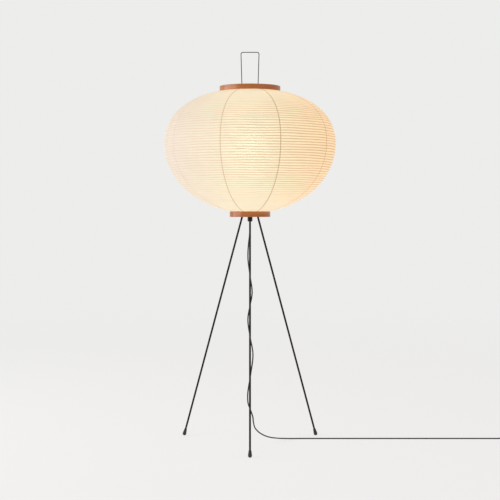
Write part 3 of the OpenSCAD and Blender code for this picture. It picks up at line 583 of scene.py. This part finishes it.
def makeFibre():
    # long thin fibres that cross each other, and the cloudy density of hand-made paper
    group, given, end = newGroup("fibre", [("Size", "Float", 0.012)],
                                 [("Fibre", "Float"), ("Cloud", "Float")])
    where = scaleBy(group, inObject(group), calc(group, "DIVIDE", 1.0, given["Size"]))
    drift = put(group, "TexNoise", {"Vector": where, "Scale": fibres["drift"], "Detail": 1.0})
    bent = put(group, "VectorMath", {0: where, 1: drift.outputs["Color"]}, operation="ADD").outputs[0]
    total = None
    for run in fibres["runs"]:
        ridge = noise(group, stretched(group, bent, *run), 1.0, 1.0)
        off = calc(group, "ABSOLUTE", calc(group, "SUBTRACT", ridge, 0.5))
        thin = fade(group, off, 0.0, fibres["thin"], 1.0, 0.0)
        total = thin if total is None else calc(group, "MAXIMUM", total, thin)
    return finishGroup(group, end, {"Fibre": total, "Cloud": noise(group, where, fibres["cloud"])})


grain, surface, fibre = makeGrain(), makeSurface(), makeFibre()


def newMaterial(name):
    material = bpy.data.materials.new(name)
    material.use_nodes = True
    tree = material.node_tree
    tree.nodes.clear()
    return material, tree


def finished(tree, inputs):
    shader = put(tree, "BsdfPrincipled", inputs)
    tree.links.new(shader.outputs[0], put(tree, "OutputMaterial").inputs["Surface"])


def bump(tree, height, strength, distance):
    return put(tree, "Bump", {"Height": height, "Strength": strength, "Distance": distance}).outputs[0]


def woodFinish(name, light, dark, length, width, gloss):
    # length and width are those of the grain's streaks
    material, tree = newMaterial(name)
    facts = {"Light": light, "Dark": dark, "Length": length, "Width": width}
    made = put(tree, "Group", facts, node_tree=grain).outputs
    finished(tree, {"Base Color": made["Colour"], "Roughness": made["Rough"],
                    "Normal": bump(tree, made["Height"], 0.12, 0.0003), "Specular IOR Level": 0.15,
                    "Coat Weight": gloss, "Coat Roughness": 0.24})
    return material


def plainFinish(name, tones, size, gloss, spread=0.15, relief=0.1, **constants):
    # constants are set on the shader's own sockets, with _ for a space
    material, tree = newMaterial(name)
    facts = {"Tone": tones[0], "Second": tones[1], "Size": size, "Gloss": gloss, "Spread": spread}
    made = put(tree, "Group", facts, node_tree=surface).outputs
    inputs = {"Base Color": made["Colour"], "Roughness": made["Rough"],
              "Normal": bump(tree, made["Height"], relief, 0.0002)}
    inputs.update({key.replace("_", " "): value for key, value in constants.items()})
    finished(tree, inputs)
    return material


paperLook = {
    "sheet": (0.52, 0.50, 0.46, 1),       # the paper itself, unlit
    "ribbed": (0.43, 0.39, 0.34, 1),      # where a rib is glued behind it
    "seamed": (0.36, 0.28, 0.21, 1),      # where two strips overlap
    "pale": (0.41, 0.315, 0.235, 1),      # its glow on the side the key light falls on, painted paler and cooler as that light would make it
    "middle": (0.62, 0.51, 0.33, 1),
    "warm": (0.65, 0.41, 0.195, 1),       # and on the side away from the key light, painted warmer as if in shade
    "keyLitSideFrom": -0.25, "shadedSideTo": 0.25,    # metres across the lantern
    "glowEdges": (0.6, 1.3), "glowRange": (0.95, 1.04),   # brighter where the bulb is near
    "collar": (0.97, 0.84, 0.66, 1),      # what is left of the glow next to the top ring
    "collarFrom": 0.90, "collarTo": 1.0,
    "ribDark": (0.55, 0.56, 0.45, 1),     # what a rib lets through
    "seamDark": (0.53, 0.47, 0.37, 1),
    "ribEdges": (0.06, 0.34),             # of a bay, from the rib's middle
    "seamEdges": (0.0006, 0.0022),        # metres from the seam's middle
    "clearFrom": (-0.26, 0.06), "least": 0.2,   # metres across, and what shows of them at the side the key light falls on
    "lowEnd": (0.10, 0.34), "topEnd": (0.70, 0.88), "atEnds": 0.25,   # shares of the way up the paper
    "endLight": 0.87,
    "patches": 24.0,                      # per metre along a rib
    "patchEdges": (0.25, 0.75), "patchRange": (0.82, 1.08),
    "fibreSize": 0.012,                   # metres
    "fibreShade": 0.03,
    "cloudEdges": (0.3, 0.7), "cloudRange": (0.975, 1.02),
}


def paperMasks(tree, place, strip):
    # where ribs and seams show, and how much of the light is left towards the rings
    look = paperLook
    # painted light: they show less on the side where the key light falls, and the ribs less near both rings
    lessOnKeyLitSide = fade(tree, place[0], *look["clearFrom"], look["least"], 1.0)
    ends = product(tree, fade(tree, strip[1], *look["lowEnd"], look["atEnds"], 1.0),
                   fade(tree, strip[1], *look["topEnd"], 1.0, look["atEnds"]))
    rib = calc(tree, "MULTIPLY", strip[1], float(lantern["bays"]))
    nearRib = fade(tree, offWhole(tree, rib), *look["ribEdges"], 1.0, 0.0)
    # and each rib is darker in some places than in others
    x, y = [calc(tree, "MULTIPLY", place[i], look["patches"]) for i in range(2)]
    patch = noise(tree, put(tree, "CombineXYZ", {0: x, 1: y, 2: rib}).outputs[0], 1.0, 1.0)
    patch = fade(tree, patch, *look["patchEdges"], *look["patchRange"])
    stripWide = calc(tree, "MULTIPLY", fromAxis(tree, place), 2 * math.pi / lantern["strips"])
    fromSeam = calc(tree, "MULTIPLY", offWhole(tree, strip[0]), stripWide)
    nearSeam = fade(tree, fromSeam, *look["seamEdges"], 1.0, 0.0)
    return product(tree, nearRib, lessOnKeyLitSide, ends, patch), calc(tree, "MULTIPLY", nearSeam, lessOnKeyLitSide), ends


def makePaperFinish():
    look = paperLook
    material, tree = newMaterial("litPaper")
    place = split(tree, inObject(tree))
    strip = split(tree, put(tree, "UVMap", uv_map="strip").outputs[0])
    made = put(tree, "Group", {"Size": look["fibreSize"]}, node_tree=fibre).outputs
    ribMask, seamMask, ends = paperMasks(tree, place, strip)
    glow = put(tree, "Attribute", attribute_name="glow").outputs["Fac"]
    # painted light: the glow is paler and cooler on the key-lit side (-X) and warmer on the other side
    light = blendOf(tree, fade(tree, place[0], look["keyLitSideFrom"], 0.0), look["pale"], look["middle"])
    light = blendOf(tree, fade(tree, place[0], 0.0, look["shadedSideTo"]), light, look["warm"])
    light = scaleBy(tree, light, fade(tree, glow, *look["glowEdges"], *look["glowRange"]))
    collar = fade(tree, strip[1], look["collarFrom"], look["collarTo"])
    light = blendOf(tree, collar, light, blendOf(tree, 1.0, light, look["collar"], "MULTIPLY"))
    light = scaleBy(tree, light, fade(tree, ends, 0.0, 1.0, look["endLight"], 1.0))
    # painted shadows of the ribs and of the seam threads and laps in the glow
    through = blendOf(tree, ribMask, (1, 1, 1, 1), look["ribDark"])
    through = blendOf(tree, seamMask, through, look["seamDark"])
    light = blendOf(tree, 1.0, light, through, "MULTIPLY")
    cloud = fade(tree, made["Cloud"], *look["cloudEdges"], *look["cloudRange"])
    cloud = calc(tree, "SUBTRACT", cloud, calc(tree, "MULTIPLY", made["Fibre"], look["fibreShade"]))
    light = scaleBy(tree, light, cloud)
    sheet = blendOf(tree, ribMask, look["sheet"], look["ribbed"])
    sheet = blendOf(tree, seamMask, sheet, look["seamed"])
    # a little of the bulb shows through as a soft spot
    finished(tree, {"Base Color": sheet, "Roughness": 0.55, "Specular IOR Level": 0.3, "IOR": 1.45,
                    "Transmission Weight": 0.2,
                    "Normal": bump(tree, made["Fibre"], 0.08, 0.0002),
                    "Emission Color": light, "Emission Strength": 1.0})
    return material


def makeGlassFinish():
    # opal glass whose coat is a little uneven, and that glows less towards its neck
    material, tree = newMaterial("opalGlass")
    height = split(tree, inObject(tree))[2]
    neck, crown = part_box("bulb_glass")[0].z, lantern["bulbHeight"]
    made = put(tree, "Group", {"Tone": tone(250, 244, 232), "Second": tone(244, 236, 222), "Size": 0.01,
                               "Gloss": 0.24, "Spread": 0.1}, node_tree=surface).outputs
    light = blendOf(tree, fade(tree, height, neck, crown), tone(236, 206, 162), tone(255, 243, 220))
    finished(tree, {"Base Color": made["Colour"], "Roughness": made["Rough"],
                    "Normal": bump(tree, made["Height"], 0.04, 0.0002),
                    "Emission Color": light, "Emission Strength": 26.0})
    return material


sheath = {
    "tones": (tone(40, 38, 35), tone(50, 47, 43)),
    "marks": (30.0, 8.0, 1.0),   # round the cord, and for each metre along it
    "markEdges": (0.3, 0.7),
    "rough": (0.5, 0.62),
}


def makeCordFinish():
    # a plain sheath, with the faint lengthwise marks of its extrusion
    material, tree = newMaterial("cordSheath")
    strip = put(tree, "UVMap", uv_map="strip").outputs[0]
    marks = noise(tree, stretched(tree, strip, *sheath["marks"]))
    colour = blendOf(tree, marks, *sheath["tones"])
    rough = fade(tree, marks, *sheath["markEdges"], *sheath["rough"])
    finished(tree, {"Base Color": colour, "Roughness": rough, "Normal": bump(tree, marks, 0.1, 0.0001)})
    return material


wood = woodFinish("bentwood", tone(210, 131, 64), tone(178, 101, 46), 0.16, 0.0024, 0.8)
innerWood = woodFinish("linerWood", tone(214, 172, 120), tone(184, 136, 86), 0.08, 0.0014, 0.1)
bamboo = woodFinish("splitBamboo", tone(214, 184, 134), tone(180, 146, 96), 0.05, 0.0006, 0.05)
legPaint = plainFinish("legPaint", (tone(32, 20, 16), tone(40, 26, 21)), 0.03, 0.5, relief=0.04,
                       Specular_IOR_Level=0.22)
rubber = plainFinish("brownRubber", (tone(52, 42, 39), tone(62, 51, 47)), 0.006, 0.62, relief=0.2)
plastic = plainFinish("blackPlastic", (tone(30, 29, 29), tone(38, 36, 36)), 0.003, 0.42, relief=0.15)
rockerPlastic = plainFinish("rockerPlastic", (tone(34, 33, 33), tone(40, 39, 39)), 0.003, 0.25, relief=0.05)
springWire = plainFinish("springWire", (tone(74, 60, 57), tone(60, 49, 46)), 0.01, 0.34, 0.2, 0.08,
                         Metallic=1.0)
zinc = plainFinish("zincPlate", (tone(196, 196, 192), tone(172, 172, 166)), 0.004, 0.32, 0.2, 0.08,
                   Metallic=1.0)
brass = plainFinish("brass", (tone(212, 178, 106), tone(182, 146, 82)), 0.006, 0.3, 0.2, 0.08,
                    Metallic=1.0)
darkSteel = plainFinish("darkSteel", (tone(58, 54, 52), tone(70, 66, 63)), 0.008, 0.45, relief=0.1)
holderWhite = plainFinish("holderPlastic", (tone(232, 229, 220), tone(224, 220, 210)), 0.01, 0.28,
                          relief=0.04)
ceramic = plainFinish("glazedCeramic", (tone(238, 235, 228), tone(230, 226, 216)), 0.01, 0.16, relief=0.04)
contactGlass = plainFinish("contactGlass", (tone(40, 40, 44), tone(50, 50, 54)), 0.004, 0.2, relief=0.04)
threadCotton = plainFinish("threadCotton", (tone(176, 146, 112), tone(150, 120, 88)), 0.002, 0.8,
                           relief=0.3)
cordSheath = makeCordFinish()
litPaper = makePaperFinish()
opalGlass = makeGlassFinish()

wearing = {
    wood: ["top_ring", "bottom_ring"],
    innerWood: ["top_ring_liner", "bottom_ring_liner"],
    darkSteel: ["crossbar", "hub_plate", "leg_sockets"],
    rubber: ["bar_grommets", "foot_front", "foot_right", "foot_left", "coil_tie"],
    zinc: ["bar_screws", "stretcher_collars", "stem_washers", "switch_screws", "plug_pins", "bulb_cap"],
    springWire: ["stretcher_wire", "carrying_loop"],
    legPaint: ["leg_front", "leg_right", "leg_left"],
    brass: ["stem_tube", "stem_nut", "screw_shell", "centre_contact"],
    plastic: ["cord_gland", "switch_base", "switch_cover", "plug_body"],
    rockerPlastic: ["switch_rocker"],
    holderWhite: ["holder_cap", "holder_body", "holder_ring"],
    ceramic: ["holder_insert"],
    opalGlass: ["bulb_glass"],
    contactGlass: ["bulb_contact"],
    cordSheath: ["stem_lead"],
}


def dress(piece, material):
    piece.data.materials.clear()
    piece.data.materials.append(material)


dressed = [(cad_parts[name], material) for material, names in wearing.items() for name in names]
dressed += [(cord, cordSheath), (paper, litPaper), (ribs, bamboo), (threads, threadCotton)]
for piece, material in dressed:
    dress(piece, material)
print("finishes placed on", len(dressed), "pieces")

studio = {
    "floorTone": tone(241, 240, 239),
    "farTone": tone(237, 237, 236),
    "seen": 0.76,            # the part of the floor's look that no shadow reaches
    "thrown": 0.55,          # the part of it that lights the lamp
    "shadowed": 0.36,        # the part that shadows darken
    "fades": (1.2, 6.0),     # metres from the lamp, over which the floor turns as plain as its surroundings
    "floorSides": 96,
    "floorRings": 24,        # after the one round the lamp's foot
    "innermost": 0.02, "nearest": 0.5, "reach": 400.0,   # radii in metres
    "sky": 0.58,             # strength of the light from all round
    "inGloss": 0.35,         # the part of the difference that a gloss shows
    "key": {"place": (-2.95, -0.45, 1.2), "size": (3.4, 1.4), "power": 40, "tone": (0.94, 0.97, 1.0)},
    "fill": {"place": (2.4, -2.6, 2.2), "size": (2.0, 2.0), "power": 6, "tone": (1.0, 0.98, 0.95)},
    "aim": (0, 0, 0.8),
}


def paleFor(tree, strengths):
    # what is seen straight or through glass is pale, a gloss shows it a little dimmer, and it throws less
    ray = put(tree, "LightPath").outputs
    seen = calc(tree, "MAXIMUM", calc(tree, "MULTIPLY", ray["Is Glossy Ray"], studio["inGloss"]),
                calc(tree, "MAXIMUM", ray["Is Camera Ray"], ray["Is Transmission Ray"]))
    return fade(tree, seen, 0.0, 1.0, *strengths)


def makeFloor():
    # rings of points round the lamp, each farther from the last, to beyond what the camera reaches
    sides = studio["floorSides"]
    radius = np.geomspace(studio["nearest"], studio["reach"], studio["floorRings"])
    radius = np.concatenate([[studio["innermost"]], radius])
    a = 2 * np.pi * np.arange(sides) / sides
    points = np.stack([np.outer(radius, np.cos(a)), np.outer(radius, np.sin(a)),
                       np.zeros((len(radius), sides))], axis=-1).reshape(-1, 3)
    piece = meshFrom("studio_floor", points, gridQuads(len(radius), sides), caps=[np.arange(sides)])
    material, tree = newMaterial("studioFloor")
    far = put(tree, "VectorMath", {0: inObject(tree)}, operation="LENGTH").outputs["Value"]
    away = fade(tree, far, *studio["fades"])
    seen = fade(tree, far, *studio["fades"], studio["seen"], 1.0)
    colour = blendOf(tree, away, studio["floorTone"], studio["farTone"])
    own = put(tree, "Emission", {"Color": colour, "Strength": paleFor(tree, (studio["thrown"], seen))})
    shadowed = [c * studio["shadowed"] for c in studio["floorTone"][:3]] + [1]
    lit = put(tree, "BsdfDiffuse", {"Color": blendOf(tree, away, shadowed, (0, 0, 0, 1))})
    both = put(tree, "AddShader", {0: own.outputs[0], 1: lit.outputs[0]})
    tree.links.new(both.outputs[0], put(tree, "OutputMaterial").inputs["Surface"])
    dress(piece, material)


def makeLamp(name, facts):
    data = bpy.data.lights.new(name, "AREA")
    data.shape = "RECTANGLE"
    data.size, data.size_y = facts["size"]
    data.energy = facts["power"]
    data.color = facts["tone"]
    lamp = bpy.data.objects.new(name, data)
    lamp.location = facts["place"]
    aim = [b - a for a, b in zip(facts["place"], studio["aim"])]
    lamp.rotation_euler = (math.atan2(math.hypot(aim[0], aim[1]), -aim[2]), 0,
                           math.atan2(aim[1], aim[0]) - math.pi / 2)
    bpy.context.scene.collection.objects.link(lamp)


def makeSky():
    world = bpy.data.worlds.new("studio")
    world.use_nodes = True
    back = world.node_tree.nodes["Background"]
    back.inputs["Color"].default_value = studio["farTone"]
    world.node_tree.links.new(paleFor(world.node_tree, (studio["sky"], 1.0)), back.inputs["Strength"])
    bpy.context.scene.world = world


makeFloor()
makeLamp("key", studio["key"])
makeLamp("fill", studio["fill"])
makeSky()
bpy.context.scene.view_settings.view_transform = "Standard"
print("studio made")
